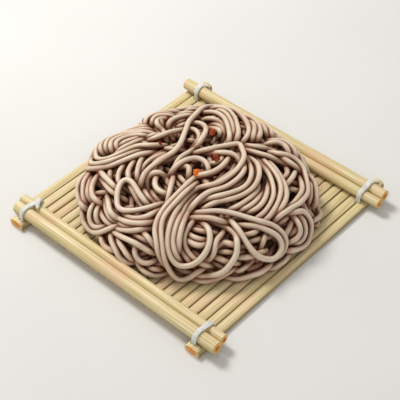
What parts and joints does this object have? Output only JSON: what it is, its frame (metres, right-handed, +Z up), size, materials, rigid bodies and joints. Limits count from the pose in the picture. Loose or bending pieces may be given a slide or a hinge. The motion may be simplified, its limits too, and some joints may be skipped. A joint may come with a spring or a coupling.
{
  "type": "zaru soba",
  "caption": "Heap of cooked buckwheat noodles on a square mat of bamboo slats, with round bamboo rods tied across both ends by white cords.",
  "frame": {"origin": "on the resting surface, under the middle of the mat", "axes": "+Z up; +Y along the slats, from the near pair of rods to the far pair; +X along the rods, from left to right"},
  "size_m": [0.1896, 0.2, 0.0434],
  "materials": {
    "split_bamboo": "smooth split bamboo, pale yellow with fine lengthwise fibres",
    "bamboo_rod": "smooth satin bamboo, warm orange at the cut ends",
    "cotton_cord": "matt twisted cotton, off-white",
    "cooked_soba": "moist cooked buckwheat dough, pinkish beige-grey with darker specks",
    "chilli_flake": "dried chilli skin, orange-red, slightly glossy"
  },
  "bodies": {
    "root": {"slat_01": "split_bamboo", "slat_02": "split_bamboo", "slat_03": "split_bamboo", "slat_04": "split_bamboo", "slat_05": "split_bamboo", "slat_06": "split_bamboo", "slat_07": "split_bamboo", "slat_08": "split_bamboo", "slat_09": "split_bamboo", "slat_10": "split_bamboo", "slat_11": "split_bamboo", "slat_12": "split_bamboo", "slat_13": "split_bamboo", "slat_14": "split_bamboo", "slat_15": "split_bamboo", "slat_16": "split_bamboo", "slat_17": "split_bamboo", "slat_18": "split_bamboo", "slat_19": "split_bamboo", "slat_20": "split_bamboo", "slat_21": "split_bamboo", "slat_22": "split_bamboo", "slat_23": "split_bamboo", "slat_24": "split_bamboo", "rod_near_outer": "bamboo_rod", "rod_near_inner": "bamboo_rod", "rod_far_outer": "bamboo_rod", "rod_far_inner": "bamboo_rod", "lashing_near_left": "cotton_cord", "lashing_near_right": "cotton_cord", "lashing_far_left": "cotton_cord", "lashing_far_right": "cotton_cord", "noodle_heap": "cooked_soba"}
  },
  "joints": []
}
